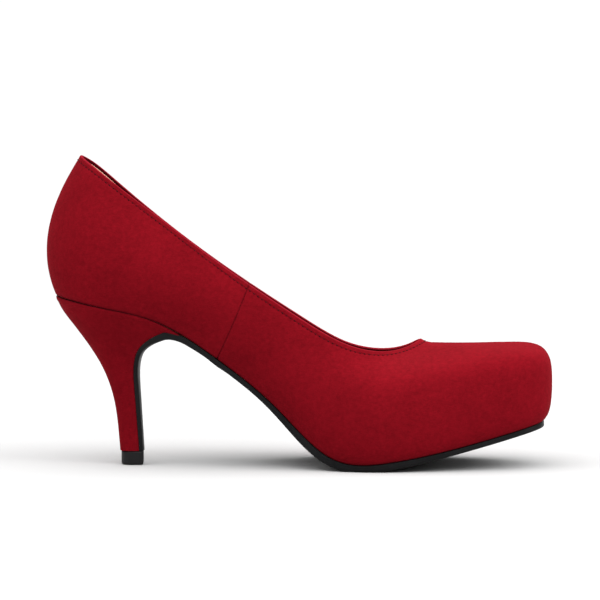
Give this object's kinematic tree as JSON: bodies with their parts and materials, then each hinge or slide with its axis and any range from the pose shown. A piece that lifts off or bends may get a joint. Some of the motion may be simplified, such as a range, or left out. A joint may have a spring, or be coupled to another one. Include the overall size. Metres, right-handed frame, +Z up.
{
  "type": "high heel pump",
  "caption": "Red suede-finish court shoe with a square covered platform toe, low-cut topline and slim curved heel.",
  "frame": {"origin": "on the ground under the middle of the shoe's bounding box", "axes": "+X from heel to toe, +Y to the lateral (outer) side, +Z up; the shoe stands on z = 0"},
  "size_m": [0.2282, 0.082, 0.1394],
  "materials": {
    "upper_faux_suede": "short-napped red faux suede, matt with a soft sheen",
    "stitching_thread": "dark red twisted polyester thread",
    "lining_synthetic": "smooth pinkish gold coated lining",
    "stiffener_sheet": "off-white impregnated non-woven sheet",
    "insole_fibreboard": "brown pressed fibreboard",
    "sock_foam": "soft open-cell foam sheet",
    "outsole_resin": "black satin moulded rubber",
    "top_piece_resin": "black hard polyurethane",
    "heel_plastic": "off-white moulded plastic",
    "platform_cork": "agglomerated cork",
    "steel": "plain bright steel"
  },
  "bodies": {
    "root": {"vamp": "upper_faux_suede", "quarter_medial": "upper_faux_suede", "quarter_lateral": "upper_faux_suede", "vamp_lining": "lining_synthetic", "quarter_lining_medial": "lining_synthetic", "quarter_lining_lateral": "lining_synthetic", "heel_grip": "lining_synthetic", "toe_puff": "stiffener_sheet", "heel_counter": "stiffener_sheet", "topline_tape": "stiffener_sheet", "topline_thread": "stitching_thread", "heel_screw": "steel", "heel_nail_rear": "steel", "heel_nail_medial": "steel", "heel_nail_lateral": "steel", "heel_nail_front_medial": "steel", "heel_nail_front_lateral": "steel", "shank_rivet_rear": "steel", "shank_rivet_front": "steel", "steel_shank": "steel", "shank_board": "insole_fibreboard", "insole_board": "insole_fibreboard", "sock_foam": "sock_foam", "sock_lining": "lining_synthetic", "platform": "platform_cork", "heel_cover": "upper_faux_suede", "heel_block": "heel_plastic", "heel_tube": "steel", "top_piece_pin": "steel", "top_piece": "top_piece_resin", "outsole": "outsole_resin"}
  },
  "joints": []
}
